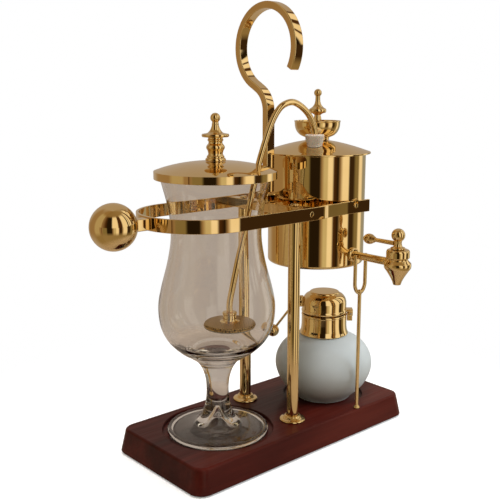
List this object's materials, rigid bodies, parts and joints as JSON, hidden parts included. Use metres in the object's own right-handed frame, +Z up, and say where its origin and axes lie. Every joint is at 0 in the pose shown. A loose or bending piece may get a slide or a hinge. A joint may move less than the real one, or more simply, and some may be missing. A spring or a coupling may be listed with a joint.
{
  "type": "balance siphon coffee maker",
  "caption": "Balance siphon coffee maker: a boiler and a lidded tulip glass on a wooden base, joined by a tilting weighted beam and a siphon tube, with a spirit burner and tap.",
  "frame": {"origin": "on the table, under the middle of the wooden base", "axes": "+X from the glass towards the boiler, +Y to the back, away from the tap, +Z up"},
  "size_m": [0.3226, 0.1758, 0.4079],
  "materials": {
    "lacquered_wood": "dark red-brown wood under clear gloss lacquer",
    "polished_gold": "polished, gold plated",
    "steel": "plain machined",
    "clear_glass": "clear, fire polished",
    "frosted_glass": "frosted outside, blue-white",
    "silicone": "white silicone",
    "felt": "black felt",
    "cotton": "woven cotton"
  },
  "bodies": {
    "root": {"wooden_base": "lacquered_wood", "base_felt": "felt", "post_front": "polished_gold", "post_back": "polished_gold", "post_flange_front": "polished_gold", "post_flange_back": "polished_gold", "post_nut_front": "steel", "post_nut_back": "steel", "bridge": "polished_gold", "bridge_screw_front": "polished_gold", "bridge_screw_back": "polished_gold", "pivot_pin_front": "steel", "pivot_pin_back": "steel", "hook_handle": "polished_gold", "hook_collar": "polished_gold", "hook_nut": "polished_gold", "fork_rod": "polished_gold", "fork_nut": "steel", "glass_beaker": "clear_glass"},
    "beam": {"balance_beam": "polished_gold", "ball_neck": "polished_gold", "counterweight_ball": "polished_gold"},
    "boiler": {"boiler_shell": "polished_gold", "boiler_lid": "polished_gold", "boiler_funnel": "polished_gold", "trunnion_front": "polished_gold", "trunnion_back": "polished_gold", "faucet_flange": "polished_gold", "faucet_pipe": "polished_gold", "faucet_body": "polished_gold", "tube_stopper": "silicone", "siphon_tube": "polished_gold", "filter_head": "polished_gold", "filter_disc": "polished_gold", "filter_cloth": "cotton"},
    "tap_key": {"faucet_key": "polished_gold", "faucet_lever": "polished_gold"},
    "plug": {"fill_plug": "polished_gold", "plug_gasket": "silicone"},
    "glass_cover": {"glass_lid": "polished_gold", "lid_finial": "polished_gold", "finial_nut": "polished_gold"},
    "burner": {"burner_bowl": "frosted_glass", "burner_collar": "polished_gold", "wick_tube": "polished_gold", "wick": "cotton", "hinge_bracket": "polished_gold", "hinge_pin": "steel"},
    "snuffer": {"burner_cap": "polished_gold", "cap_lever": "polished_gold", "lever_ball": "polished_gold"}
  },
  "joints": [
    {"name": "beam_tilt", "type": "hinge", "parent": "root", "child": "beam", "pos_m": [0, 0, 0.2233], "axis": [0, 1, 0], "range_deg": [0, 7]},
    {"name": "boiler_swing", "type": "hinge", "parent": "beam", "child": "boiler", "pos_m": [0.063, 0, 0.2246], "axis": [0, 1, 0], "range_deg": [-7, 0]},
    {"name": "tap_turn", "type": "hinge", "parent": "boiler", "child": "tap_key", "pos_m": [0.065, -0.1005, 0.195], "axis": [0, 0, 1], "range_deg": [0, 90]},
    {"name": "plug_lift", "type": "slide", "parent": "boiler", "child": "plug", "axis": [0, 0, 1], "range_m": [0, 0.03]},
    {"name": "glass_lid_lift", "type": "slide", "parent": "root", "child": "glass_cover", "axis": [0, 0, 1], "range_m": [0, 0.04]},
    {"name": "burner_out", "type": "slide", "parent": "root", "child": "burner", "axis": [0.96, 0, 0.28], "range_m": [0, 0.15]},
    {"name": "snuffer_open", "type": "hinge", "parent": "burner", "child": "snuffer", "pos_m": [0.09325, -0.02159, 0.1085], "axis": [0.6613, 0.7501, 0], "range_deg": [0, 42]}
  ],
  "couplings": [
    {"joint": "boiler_swing", "follows": "beam_tilt", "ratio": -1}
  ]
}
